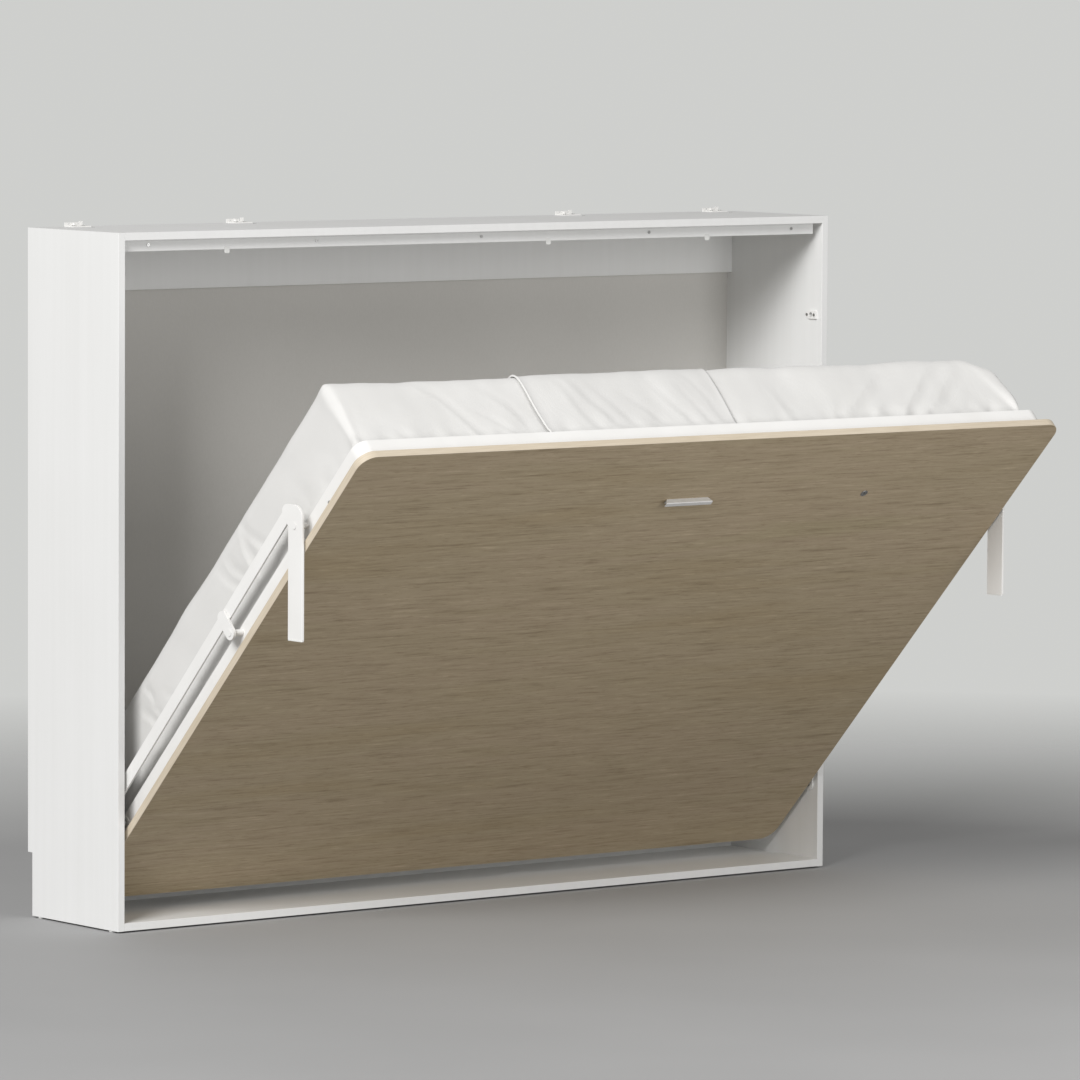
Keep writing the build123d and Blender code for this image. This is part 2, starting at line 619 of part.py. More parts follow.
# ---------------------------------------------------------------- lock and bolts
ROD_Y = (BOLT_Y - 1.5, BOLT_Y + 1.5)
ROD_Z = (BOLT_Z - 6, BOLT_Z + 6)
CAM_Y = (door_y(25.0), door_y(33.0))
CAM_PIN = 3.0
CAM_SIDE = CAM_ARM * sin(radians(45))
CAM_Z = door_z(LOCK_UP)
BOLT_TIP = FRAME_HALF + 3.0
GUIDE_X = (-880.0, -500.0, -100.0, 300.0, 700.0, 880.0)


def lock():
    """Lock housing in the door, and the barrel with the cam disc that drives both bolts."""
    with BuildPart() as housing:
        add_rod_y(LOCK_HOUSING, LOCK_X, (FRONT, CAM_Y[0] - GAP), CAM_Z)
        add_rod_y(LOCK_COLLAR, LOCK_X, (FRONT - 1.5, FRONT), CAM_Z)
        fillet(housing.edges().filter_by(GeomType.CIRCLE).group_by(Axis.Y)[0], 1)
        add_rod_y(LOCK_BARREL + RUN, LOCK_X, (FRONT - 1.5, CAM_Y[0] - GAP), CAM_Z, Mode.SUBTRACT)
    save_bed(housing.part, "lock_housing")
    with BuildPart() as barrel:
        add_rod_y(LOCK_BARREL, LOCK_X, (FRONT - 1.0, CAM_Y[0]), CAM_Z)
        add_block((LOCK_X - 0.9, LOCK_X + 0.9), (FRONT - 1.0, FRONT + 6), (CAM_Z - 4, CAM_Z + 4), Mode.SUBTRACT)
        add_rod_y(CAM_ARM + 6, LOCK_X, CAM_Y, CAM_Z)
        for side in (-1, 1):
            add_rod_y(CAM_PIN, LOCK_X - side * CAM_SIDE, (CAM_Y[1], CAM_Y[1] + 7), CAM_Z + side * CAM_SIDE)
    save_bed(barrel.part, "lock_barrel")


def cam_slot(x, side):
    """Slot that lets the cam pin rise and fall while it pushes the rod."""
    low = CAM_Z + side * CAM_SIDE
    high = CAM_Z + side * CAM_ARM
    reach = CAM_PIN + 1
    add_block((x - reach, x + reach), ROD_Y, (min(low, high) - reach, max(low, high) + reach), Mode.SUBTRACT)


def latch_rods():
    """Flat rods behind the door that end in the round lock bolts."""
    with BuildPart() as right:
        pin_x = LOCK_X - CAM_SIDE
        add_block((pin_x - 11, BOLT_TIP - 70), ROD_Y, ROD_Z)
        add_block((pin_x - 11, pin_x + 11), ROD_Y, (CAM_Z + CAM_SIDE - 12, CAM_Z + CAM_ARM + 12))
        cam_slot(pin_x, 1)
        add_rod_x(PIN, (BOLT_TIP - 73, BOLT_TIP), BOLT_Y, BOLT_Z)
        chamfer(right.edges().filter_by(GeomType.CIRCLE).group_by(Axis.X)[-1], 2)
    save_bed(right.part, "latch_rod_right")
    with BuildPart() as left:
        pin_x = LOCK_X + CAM_SIDE
        jog = LOCK_X - 62
        slot_z = (CAM_Z - CAM_ARM - 12, CAM_Z - CAM_SIDE + 12)
        add_block((70 - BOLT_TIP, jog), ROD_Y, ROD_Z)
        add_block((jog - 12, jog), ROD_Y, (CAM_Z - CAM_ARM - 6, BOLT_Z + 6))
        add_block((jog - 12, pin_x), ROD_Y, (CAM_Z - CAM_ARM - 6, CAM_Z - CAM_SIDE + 2))
        add_block((pin_x - 11, pin_x + 11), ROD_Y, slot_z)
        cam_slot(pin_x, -1)
        add_rod_x(PIN, (-BOLT_TIP, 73 - BOLT_TIP), BOLT_Y, BOLT_Z)
        chamfer(left.edges().filter_by(GeomType.CIRCLE).group_by(Axis.X)[0], 2)
    save_bed(left.part, "latch_rod_left")
    room = 0.4
    with BuildPart() as guides:
        for x in GUIDE_X:
            add_block((x - 10, x + 10), (door_y(DOOR_THICK), ROD_Y[1] + 4), (ROD_Z[0] - 6, ROD_Z[1] + 6))
            add_block((x - 10, x + 10), (ROD_Y[0] - room, ROD_Y[1] + room), (ROD_Z[0] - room, ROD_Z[1] + room),
                      Mode.SUBTRACT)
    save_bed(guides.part, "rod_guides")


# ---------------------------------------------------------------- leg linkage, drawn at rest
def at_rest(depth, height):
    """Y and Z at rest of a point given by its place on the upright bed."""
    turn = radians(REST_ANGLE)
    dy = door_y(depth) - HINGE_Y
    dz = door_z(height) - HINGE_Z
    return (HINGE_Y + dy * cos(turn) - dz * sin(turn), HINGE_Z + dy * sin(turn) + dz * cos(turn))


def leg():
    """Flat leg that always hangs upright, with its stud for the link bar."""
    y, z = at_rest(LEG_IN, LEG_UP)
    front = y - 30
    back = front + LEG_WIDE
    drop = HINGE_Z + LEG_IN - HINGE_IN
    foot = z - drop
    ear_y = y + CRANK_BACK
    ear_z = z + CRANK_UP
    round_off = 16.0
    with BuildPart() as plate:
        with BuildSketch(Plane.YZ.offset(LEG_PLATE)):
            with BuildLine():
                Line((front, foot + FOOT_PAD), (front, z + 15))
                RadiusArc((front, z + 15), (front + 32, z + 47), 32)
                Line((front + 32, z + 47), (ear_y, ear_z + round_off))
                RadiusArc((ear_y, ear_z + round_off), (ear_y + round_off, ear_z), round_off)
                RadiusArc((ear_y + round_off, ear_z), (ear_y + 11.3, ear_z - 11.3), round_off)
                Line((ear_y + 11.3, ear_z - 11.3), (back, z - 2))
                Line((back, z - 2), (back, foot + FOOT_PAD))
                Line((back, foot + FOOT_PAD), (front, foot + FOOT_PAD))
            make_face()
        extrude(amount=LEG_THICK)
        fillet(plate.edges().filter_by(Axis.Z), 1)
        add_rod_x(PIN + RUN, (LEG_PLATE, LEG_PLATE + LEG_THICK), y, z, Mode.SUBTRACT)
        add_rod_x(PIN, (LINK_PLATE - 0.5, LEG_PLATE), ear_y, ear_z)
        add_rod_x(PIN + 3, (LINK_PLATE - 2.5, LINK_PLATE - 0.5), ear_y, ear_z)
    save_pair(plate.part, "leg")
    with BuildPart() as pad:
        add_block((LEG_PLATE - 0.5, LEG_PLATE + LEG_THICK + 1), (front + 1, back - 1), (foot, foot + FOOT_PAD))
        fillet(pad.edges().filter_by(Axis.Z), 2)
    save_pair(pad.part, "foot_pad")


def idler_crank():
    """Short crank that steadies the link bar half-way along the bed."""
    y, z = at_rest(IDLER_IN, IDLER_UP)
    ear_y = y + CRANK_BACK
    ear_z = z + CRANK_UP
    middle = ((y + ear_y) / 2, (z + ear_z) / 2)
    with BuildPart() as crank:
        with BuildSketch(Plane.YZ.offset(LEG_PLATE)):
            with Locations(Location((middle[0], middle[1], 0), (0, 0, 45))):
                SlotCenterToCenter(hypot(CRANK_BACK, CRANK_UP), 32)
        extrude(amount=LEG_THICK)
        add_rod_x(PIN + RUN, (LEG_PLATE, LEG_PLATE + LEG_THICK), y, z, Mode.SUBTRACT)
        add_rod_x(PIN, (LINK_PLATE - 0.5, LEG_PLATE), ear_y, ear_z)
        add_rod_x(PIN + 3, (LINK_PLATE - 2.5, LINK_PLATE - 0.5), ear_y, ear_z)
    save_pair(crank.part, "idler_crank")


def link_bar():
    """Long flat bar from the anchor on the hinge plate to the leg."""
    anchor = (HINGE_Y + CRANK_BACK, HINGE_Z + CRANK_UP)
    leg_y, leg_z = at_rest(LEG_IN, LEG_UP)
    head = (leg_y + CRANK_BACK, leg_z + CRANK_UP)
    idler_y, idler_z = at_rest(IDLER_IN, IDLER_UP)
    waist = (idler_y + CRANK_BACK, idler_z + CRANK_UP)
    tilt = degrees(atan2(head[1] - anchor[1], head[0] - anchor[0]))
    middle = ((anchor[0] + head[0]) / 2, (anchor[1] + head[1]) / 2)
    with BuildPart() as bar:
        with BuildSketch(Plane.YZ.offset(LINK_PLATE)):
            with Locations(Location((middle[0], middle[1], 0), (0, 0, tilt))):
                SlotCenterToCenter(LINK_LENGTH, LINK_WIDE)
        extrude(amount=LINK_THICK)
        for y, z in (anchor, head, waist):
            add_rod_x(PIN + RUN, (LINK_PLATE, LINK_PLATE + LINK_THICK), y, z, Mode.SUBTRACT)
    save_pair(bar.part, "link_bar")


# ---------------------------------------------------------------- gas struts, drawn at rest
TUBE_RADIUS = 10.0
BORE_RADIUS = 8.0
ROD_RADIUS = 4.0
TUBE_FROM = 15.0               # distances along the strut from its upper pivot
TUBE_TO = 255.0
ROD_LENGTH = 240.0
EYE_HALF = 5.0


def gas_strut():
    top = (STRUT_TOP_Y, STRUT_TOP_Z)
    foot = at_rest(HINGE_IN, HINGE_UP - STRUT_ARM)
    length = hypot(foot[0] - top[0], foot[1] - top[1])
    down = Vector(0, (foot[0] - top[0]) / length, (foot[1] - top[1]) / length)
    start = Vector(STRUT_X, top[0], top[1])

    def along(distance):
        return Plane(origin=start + down * distance, x_dir=(1, 0, 0), z_dir=down)

    def bar(radius, low, high, mode=Mode.ADD):
        with BuildSketch(along(low)) as section:
            Circle(radius)
        extrude(section.sketch, amount=high - low, mode=mode)

    def eye(place, radius):
        add_rod_x(radius, (STRUT_X - EYE_HALF, STRUT_X + EYE_HALF), *place)

    with BuildPart() as cylinder:
        bar(TUBE_RADIUS, TUBE_FROM, TUBE_TO)
        bar(BORE_RADIUS, TUBE_FROM + 8, TUBE_TO - 10, Mode.SUBTRACT)
        bar(ROD_RADIUS + RUN, TUBE_TO - 12, TUBE_TO + 2, Mode.SUBTRACT)
        bar(4.5, 0, TUBE_FROM + 1)
        eye(top, 9)
        add_rod_x(4.0 + RUN, (STRUT_X - 8, STRUT_X + 8), *top, Mode.SUBTRACT)
    save_pair(cylinder.part, "strut_cylinder")
    with BuildPart() as rod:
        bar(ROD_RADIUS, length - ROD_LENGTH, length - 4)
        bar(BORE_RADIUS - 0.1, length - ROD_LENGTH, length - ROD_LENGTH + 12)
        eye(foot, 8)
        add_rod_x(ROD_RADIUS, (FRAME_HALF + 4, STRUT_X), *foot)
    save_pair(rod.part, "strut_rod")


os.makedirs("parts", exist_ok=True)
side_panel()
top_panel()
bottom_panel()
back_structure()
stop_rail()
wall_brackets()
hinge_plates()
strike_plates()
strut_top_brackets()
cabinet_screws()
top_hole_caps()
base_glides()
door()
pull_handle()
bed_frame()
slatted_base()
mattress()
frame_hardware()
lock()
latch_rods()
leg()
idler_crank()
link_bar()
gas_strut()
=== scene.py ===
"""Looks for the horizontal folding wall bed: materials, the mattress and its band, floor, light and camera.

Lengths are metres in the row frame: the origin is on the floor under the middle of the cabinet, +X runs
along it, +Y goes back to the wall and +Z is up. Bed space is the same frame with the bed folded shut, so
that the mattress stands upright: +Z is then its width, +Y its thickness, and TURN takes bed space to the
row frame.
"""

import json
import math

import bmesh
import bpy
import numpy as np
from mathutils import Matrix, Vector
from mathutils.bvhtree import BVHTree


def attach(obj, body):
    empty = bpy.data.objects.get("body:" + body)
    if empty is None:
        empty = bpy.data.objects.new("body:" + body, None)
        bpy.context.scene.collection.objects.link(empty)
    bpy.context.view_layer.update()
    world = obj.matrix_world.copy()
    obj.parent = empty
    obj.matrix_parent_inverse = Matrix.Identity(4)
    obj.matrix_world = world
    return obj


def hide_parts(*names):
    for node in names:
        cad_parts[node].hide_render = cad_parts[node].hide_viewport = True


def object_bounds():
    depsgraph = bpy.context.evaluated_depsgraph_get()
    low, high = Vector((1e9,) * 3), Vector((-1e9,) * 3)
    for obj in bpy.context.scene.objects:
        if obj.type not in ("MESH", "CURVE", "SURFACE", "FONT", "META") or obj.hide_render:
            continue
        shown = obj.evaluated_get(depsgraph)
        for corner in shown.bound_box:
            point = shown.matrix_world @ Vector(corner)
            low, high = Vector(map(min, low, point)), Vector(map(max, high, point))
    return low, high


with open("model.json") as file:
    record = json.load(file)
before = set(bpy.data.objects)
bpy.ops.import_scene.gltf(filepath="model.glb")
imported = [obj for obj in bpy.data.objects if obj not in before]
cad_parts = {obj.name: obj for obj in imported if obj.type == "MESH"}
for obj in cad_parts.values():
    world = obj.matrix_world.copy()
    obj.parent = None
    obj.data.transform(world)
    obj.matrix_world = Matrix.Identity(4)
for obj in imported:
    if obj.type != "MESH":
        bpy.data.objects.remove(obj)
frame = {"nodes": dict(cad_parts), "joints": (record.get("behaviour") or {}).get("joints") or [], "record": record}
cad_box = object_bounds()

MM = 0.001
fold_joint = next(joint for joint in frame["joints"] if joint["name"] == "bed_fold")
HINGE = Vector(fold_joint["pos_m"])
OPEN = math.radians(-fold_joint["range_deg"][0])
TURN = Matrix.Translation(HINGE) @ Matrix.Rotation(OPEN, 4, "X") @ Matrix.Translation(-HINGE)
SLOTS = {part["node"]: part["material_slot"] for part in frame["record"]["subparts"]}


# ---------------------------------------------------------------- material nodes

def add_node(tree, kind, settings=None, **inputs):
    """Adds a shader node; inputs are names of its sockets with _ for a space."""
    node = tree.nodes.new(kind)
    for name, value in (settings or {}).items():
        setattr(node, name, value)
    for name, value in inputs.items():
        socket = node.inputs[name.replace("_", " ")]
        if isinstance(value, bpy.types.NodeSocket):
            tree.links.new(value, socket)
        else:
            socket.default_value = value
    return node


def rgba(red, green, blue):
    return (red, green, blue, 1.0)


def start_material(name, roughness, **constants):
    """A new material with its Principled shader, whose constant values are set on its own sockets."""
    material = bpy.data.materials.new(name)
    material.use_nodes = True
    tree = material.node_tree
    shader = tree.nodes["Principled BSDF"]
    shader.inputs["Roughness"].default_value = roughness
    for socket, value in constants.items():
        shader.inputs[socket.replace("_", " ")].default_value = value
    return material, tree, shader


def place(tree, scale=(1.0, 1.0, 1.0), with_bed=False):
    """Object coordinates, turned into bed space where with_bed is true, and stretched by scale."""
    point = add_node(tree, "ShaderNodeTexCoord").outputs["Object"]
    if with_bed:
        turned = add_node(tree, "ShaderNodeMapping", Vector=point, Rotation=(-OPEN, 0.0, 0.0))
        point = turned.outputs["Vector"]
    return add_node(tree, "ShaderNodeMapping", Vector=point, Scale=scale).outputs["Vector"]


def noise_value(tree, vector, scale, detail=3.0, roughness=0.5, distortion=0.0):
    texture = add_node(tree, "ShaderNodeTexNoise", Vector=vector, Scale=scale, Detail=detail,
                       Roughness=roughness, Distortion=distortion)
    return texture.outputs["Fac"]


def ramp(tree, value, stops):
    """A colour ramp with stops of (place, colour)."""
    node = add_node(tree, "ShaderNodeValToRGB", Fac=value)
    elements = node.color_ramp.elements
    while len(elements) < len(stops):
        elements.new(0.5)
    for element, (place_on_ramp, colour) in zip(elements, stops):
        element.position = place_on_ramp
        element.color = colour
    return node.outputs["Color"]


def remap(tree, value, low, high, from_low=0.0, from_high=1.0):
    node = add_node(tree, "ShaderNodeMapRange", Value=value)
    node.inputs["From Min"].default_value = from_low
    node.inputs["From Max"].default_value = from_high
    node.inputs["To Min"].default_value = low
    node.inputs["To Max"].default_value = high
    return node.outputs["Result"]


def mix_colours(tree, factor, first, second, blend="MIX"):
    node = tree.nodes.new("ShaderNodeMix")
    node.data_type = "RGBA"
    node.blend_type = blend
    for socket, value in ((node.inputs[0], factor), (node.inputs[6], first), (node.inputs[7], second)):
        if isinstance(value, bpy.types.NodeSocket):
            tree.links.new(value, socket)
        else:
            socket.default_value = value
    return node.outputs[2]


def join(tree, socket, target):
    tree.links.new(socket, target)


def bump(tree, shader, height, distance, strength=1.0, below=None):
    """Adds a bump of that height in metres, on top of the bump in below if there is one."""
    node = add_node(tree, "ShaderNodeBump", Strength=strength, Distance=distance, Height=height)
    if below is not None:
        join(tree, below, node.inputs["Normal"])
    join(tree, node.outputs["Normal"], shader.inputs["Normal"])
    return node.outputs["Normal"]


# ---------------------------------------------------------------- materials

def white_board():
    """White melamine board: satin, with the faint upright streaks of its pressed paper."""
    material, tree, shader = start_material("white_board", 0.42)
    streak = noise_value(tree, place(tree, (55.0, 55.0, 1.1)), 1.0, detail=4.0)
    cloud = noise_value(tree, place(tree), 2.2, detail=2.0)
    streaked = ramp(tree, streak, [(0.30, rgba(0.785, 0.785, 0.776)), (0.70, rgba(0.805, 0.805, 0.798))])
    clouded = ramp(tree, cloud, [(0.3, rgba(0.97, 0.97, 0.965)), (0.7, rgba(1.0, 1.0, 1.0))])
    join(tree, mix_colours(tree, 1.0, streaked, clouded, "MULTIPLY"), shader.inputs["Base Color"])
    join(tree, remap(tree, streak, 0.36, 0.50), shader.inputs["Roughness"])
    fine = noise_value(tree, place(tree, (900.0, 900.0, 260.0)), 1.0, detail=2.0)
    bump(tree, shader, fine, 0.05 * MM)
    return material


def back_sheet():
    """Thin laminated hardboard at the back: warmer and duller than the boards."""
    material, tree, shader = start_material("back_sheet", 0.62)
    cloud = noise_value(tree, place(tree), 1.6, detail=3.0)
    fibre = noise_value(tree, place(tree, (260.0, 260.0, 120.0)), 1.0, detail=3.0)
    clouded = ramp(tree, cloud, [(0.3, rgba(0.60, 0.585, 0.555)), (0.7, rgba(0.645, 0.630, 0.600))])
    fibred = ramp(tree, fibre, [(0.2, rgba(0.96, 0.96, 0.955)), (0.8, rgba(1.0, 1.0, 1.0))])
    join(tree, mix_colours(tree, 1.0, clouded, fibred, "MULTIPLY"), shader.inputs["Base Color"])
    bump(tree, shader, fibre, 0.06 * MM)
    return material


def oak_veneer():
    """Grey-brown oak, grain along the bed: broad bands, long streaks, fine pores and silvery flecks."""
    material, tree, shader = start_material("oak_veneer", 0.58)
    wave = noise_value(tree, place(tree, (0.8, 1.0, 7.0), True), 1.0, detail=3.0, distortion=0.25)
    streak = noise_value(tree, place(tree, (7.0, 30.0, 150.0), True), 1.0, detail=6.0, roughness=0.68,
                         distortion=0.1)
    pore = noise_value(tree, place(tree, (26.0, 200.0, 420.0), True), 1.0, detail=4.0, roughness=0.7)
    fleck = noise_value(tree, place(tree, (17.0, 90.0, 240.0), True), 1.0, detail=3.0)
    broad = ramp(tree, wave, [(0.30, rgba(0.378, 0.298, 0.185)), (0.45, rgba(0.398, 0.322, 0.212)),
                              (0.58, rgba(0.408, 0.326, 0.220)), (0.72, rgba(0.385, 0.315, 0.200))])
    streaks = ramp(tree, streak, [(0.30, rgba(0.66, 0.63, 0.58)), (0.44, rgba(0.95, 0.94, 0.925)),
                                  (0.60, rgba(1.04, 1.04, 1.04)), (0.72, rgba(1.18, 1.18, 1.20))])
    pores = ramp(tree, pore, [(0.32, rgba(0.60, 0.55, 0.47)), (0.43, rgba(1.0, 1.0, 1.0))])
    flecks = ramp(tree, fleck, [(0.60, rgba(1.0, 1.0, 1.0)), (0.72, rgba(1.18, 1.19, 1.22))])
    colour = mix_colours(tree, 1.0, broad, streaks, "MULTIPLY")
    colour = mix_colours(tree, 0.75, colour, pores, "MULTIPLY")
    colour = mix_colours(tree, 1.0, colour, flecks, "MULTIPLY")
    join(tree, colour, shader.inputs["Base Color"])
    join(tree, remap(tree, streak, 0.66, 0.50), shader.inputs["Roughness"])
    grain = bump(tree, shader, streak, 0.22 * MM)
    bump(tree, shader, pore, 0.12 * MM, below=grain)
    return material


def edge_band():
    """Pale birch-coloured band round the door, with a faint lengthwise grain."""
    material, tree, shader = start_material("edge_band", 0.5)
    grain = noise_value(tree, place(tree, (14.0, 330.0, 14.0), True), 1.0, detail=4.0, roughness=0.6)
    cloud = noise_value(tree, place(tree), 7.0, detail=2.0)
    pale = ramp(tree, grain, [(0.25, rgba(0.56, 0.48, 0.365)), (0.75, rgba(0.68, 0.60, 0.485))])
    clouded = ramp(tree, cloud, [(0.3, rgba(0.93, 0.92, 0.90)), (0.7, rgba(1.0, 1.0, 1.0))])
    join(tree, mix_colours(tree, 1.0, pale, clouded, "MULTIPLY"), shader.inputs["Base Color"])
    bump(tree, shader, grain, 0.10 * MM)
    return material


def slat_wood():
    """Laminated beech slats: pinkish tan with short dark rays."""
    material, tree, shader = start_material("slat_wood", 0.48)
    grain = noise_value(tree, place(tree, (45.0, 45.0, 3.0), True), 1.0, detail=4.0, distortion=0.4)
    ray = noise_value(tree, place(tree, (420.0, 420.0, 60.0), True), 1.0, detail=2.0)
    tan = ramp(tree, grain, [(0.25, rgba(0.52, 0.36, 0.21)), (0.75, rgba(0.68, 0.51, 0.33))])
    rays = ramp(tree, ray, [(0.30, rgba(0.78, 0.72, 0.66)), (0.42, rgba(1.0, 1.0, 1.0))])
    join(tree, mix_colours(tree, 1.0, tan, rays, "MULTIPLY"), shader.inputs["Base Color"])
    bump(tree, shader, grain, 0.12 * MM)
    return material


def metal(name, dark, light, roughness, brushed=(60.0, 60.0, 60.0), metallic=1.0, relief=0.03 * MM):
    """A metal finish whose tone and roughness vary along fine brush or flow marks."""
    material, tree, shader = start_material(name, roughness, Metallic=metallic)
    marks = noise_value(tree, place(tree, brushed), 1.0, detail=4.0, roughness=0.65)
    cloud = noise_value(tree, place(tree), 35.0, detail=2.0)
    marked = ramp(tree, marks, [(0.25, dark), (0.75, light)])
    clouded = ramp(tree, cloud, [(0.3, rgba(0.92, 0.92, 0.92)), (0.7, rgba(1.0, 1.0, 1.0))])
    join(tree, mix_colours(tree, 1.0, marked, clouded, "MULTIPLY"), shader.inputs["Base Color"])
    join(tree, remap(tree, marks, roughness * 1.25, roughness * 0.8), shader.inputs["Roughness"])
    bump(tree, shader, marks, relief)
    return material


def white_steel():
    """White powder coat with its fine orange peel."""
    material, tree, shader = start_material("white_steel", 0.38)
    peel = noise_value(tree, place(tree), 650.0, detail=2.0)
    cloud = noise_value(tree, place(tree), 9.0, detail=3.0)
    colour = ramp(tree, cloud, [(0.3, rgba(0.785, 0.777, 0.758)), (0.7, rgba(0.825, 0.818, 0.802))])
    join(tree, colour, shader.inputs["Base Color"])
    join(tree, remap(tree, peel, 0.34, 0.48), shader.inputs["Roughness"])
    bump(tree, shader, peel, 0.05 * MM)
    return material


def plastic():
    """White moulded plastic with a fine spark texture."""
    material, tree, shader = start_material("plastic", 0.5)
    spark = noise_value(tree, place(tree), 1100.0, detail=2.0)
    cloud = noise_value(tree, place(tree), 30.0, detail=2.0)
    colour = ramp(tree, cloud, [(0.3, rgba(0.70, 0.70, 0.68)), (0.7, rgba(0.76, 0.76, 0.74))])
    join(tree, colour, shader.inputs["Base Color"])
    join(tree, remap(tree, spark, 0.42, 0.60), shader.inputs["Roughness"])
    bump(tree, shader, spark, 0.06 * MM)
    return material


def cotton(name, dark, light, thread):
    """Plain-woven cotton: crossing threads, soft creases and a light sheen."""
    material, tree, shader = start_material(name, 0.88, Sheen_Weight=0.25, Sheen_Roughness=0.45)
    point = place(tree, with_bed=True)
    cloud = noise_value(tree, point, 4.0, detail=4.0)
    join(tree, ramp(tree, cloud, [(0.3, dark), (0.7, light)]), shader.inputs["Base Color"])
    creases = noise_value(tree, point, 26.0, detail=4.0, roughness=0.55, distortion=0.8)
    creased = bump(tree, shader, creases, 1.0 * MM, strength=0.5)
    threads = []
    for direction in ("X", "Z"):
        wave = add_node(tree, "ShaderNodeTexWave", {"bands_direction": direction}, Vector=point,
                        Scale=1.0 / thread / (2.0 * math.pi), Distortion=0.6, Detail=1.0)
        threads.append(wave.outputs["Fac"])
    weave = add_node(tree, "ShaderNodeMath", {"operation": "MAXIMUM"})
    join(tree, threads[0], weave.inputs[0])
    join(tree, threads[1], weave.inputs[1])
    bump(tree, shader, weave.outputs["Value"], 0.08 * MM, below=creased)
    return material


MAKERS = {
    "white_board": white_board,
    "back_sheet": back_sheet,
    "oak_veneer": oak_veneer,
    "edge_band": edge_band,
    "slat_wood": slat_wood,
    "white_steel": white_steel,
    "plastic": plastic,
    "zinc_steel": lambda: metal("zinc_steel", rgba(0.46, 0.46, 0.45), rgba(0.62, 0.62, 0.61), 0.32),
    "black_steel": lambda: metal("black_steel", rgba(0.018, 0.018, 0.019), rgba(0.035, 0.035, 0.036), 0.30,
                                 metallic=0.0),
    "satin_metal": lambda: metal("satin_metal", rgba(0.66, 0.655, 0.64), rgba(0.82, 0.81, 0.80), 0.45,
                                 brushed=(9.0, 500.0, 500.0), metallic=0.35),
    "lock_chrome": lambda: metal("lock_chrome", rgba(0.30, 0.30, 0.295), rgba(0.44, 0.44, 0.43), 0.20),
    "bed_sheet": lambda: cotton("bed_sheet", rgba(0.655, 0.648, 0.630), rgba(0.695, 0.688, 0.672),
                                0.6 * MM),
    "bedding_band": lambda: cotton("bedding_band", rgba(0.640, 0.633, 0.616), rgba(0.680, 0.673, 0.657),
                                   0.5 * MM),
}
materials = {slot: maker() for slot, maker in MAKERS.items()}
for node_name, node_object in frame["nodes"].items():
    finish = materials[SLOTS[node_name]]
    if not node_object.material_slots:
        node_object.data.materials.append(finish)
    for material_slot in node_object.material_slots:
        material_slot.material = finish


# ---------------------------------------------------------------- soft pieces

def transformed(points, matrix):
    """An N x 3 array of points taken through a 4 x 4 matrix."""
    whole = np.array(matrix)
    return points @ whole[:3, :3].T + whole[:3, 3]


def points_of(mesh):
    points = np.empty(len(mesh.vertices) * 3)
    mesh.vertices.foreach_get("co", points)
    return points.reshape(-1, 3)


def normals_of(mesh):
    normals = np.empty(len(mesh.vertices) * 3)
    mesh.vertex_normals.foreach_get("vector", normals)
    return normals.reshape(-1, 3)


def put_points(mesh, points):
    mesh.vertices.foreach_set("co", points.ravel())
    mesh.update()


def bed_box(node):
    """The lowest and highest corner of a CAD node in bed space."""
    points = transformed(points_of(frame["nodes"][node].data), TURN.inverted())
    return points.min(0), points.max(0)


def add_object(name, mesh):
    piece = bpy.data.objects.new(name, mesh)
    bpy.context.scene.collection.objects.link(piece)
    return piece


def apply_modifiers(piece):
    """Turns the piece's evaluated shape into its mesh, with no modifiers left."""
    depsgraph = bpy.context.evaluated_depsgraph_get()
    shaped = bpy.data.meshes.new_from_object(piece.evaluated_get(depsgraph))
    piece.modifiers.clear()
    piece.data = shaped
    return piece


def smooth_step(value, low, high):
    share = np.clip((value - low) / (high - low), 0.0, 1.0)
    return share * share * (3.0 - 2.0 * share)


def rounded_block(name, low, high, radius, voxel):
    """A closed block with rounded edges, remeshed into even small faces."""
    mesh = bpy.data.meshes.new(name)
    shape = bmesh.new()
    middle, size = (low + high) / 2.0, high - low
    matrix = Matrix.Translation(Vector(middle)) @ Matrix.Diagonal((*size, 1.0))
    bmesh.ops.create_cube(shape, size=1.0, matrix=matrix)
    bmesh.ops.bevel(shape, geom=shape.edges[:], offset=radius, segments=6, profile=0.5, affect="EDGES")
    shape.to_mesh(mesh)
    shape.free()
    piece = add_object(name, mesh)
    remesh = piece.modifiers.new("even_faces", "REMESH")
    remesh.mode = "VOXEL"
    remesh.voxel_size = voxel
    return apply_modifiers(piece)


def inflate(piece, pinned, pressure, cap, frames=20):
    """Lets the cloth swell under pressure. Pinned points stay, and no point moves further than cap."""
    still = points_of(piece.data)
    group = piece.vertex_groups.new(name="pinned")
    group.add(np.flatnonzero(pinned).tolist(), 1.0, "REPLACE")
    cloth = piece.modifiers.new("cloth", "CLOTH")
    settings = cloth.settings
    settings.quality = 4
    settings.mass = 0.25
    settings.tension_stiffness = 12.0
    settings.compression_stiffness = 12.0
    settings.shear_stiffness = 6.0
    settings.bending_stiffness = 0.4
    settings.use_pressure = True
    settings.uniform_pressure_force = pressure
    settings.vertex_group_mass = group.name
    settings.effector_weights.gravity = 0.0
    cloth.collision_settings.use_collision = False
    scene = bpy.context.scene
    for step in range(1, frames + 1):
        scene.frame_set(step)
    apply_modifiers(piece)
    scene.frame_set(1)
    move = points_of(piece.data) - still
    length = np.linalg.norm(move, axis=1, keepdims=True)
    move *= np.minimum(1.0, cap / np.maximum(length, 1e-9))
    put_points(piece.data, still + move)


def subdivide(piece):
    smoother = piece.modifiers.new("smoother", "SUBSURF")
    smoother.levels = 1
    smoother.render_levels = 1
    return apply_modifiers(piece)


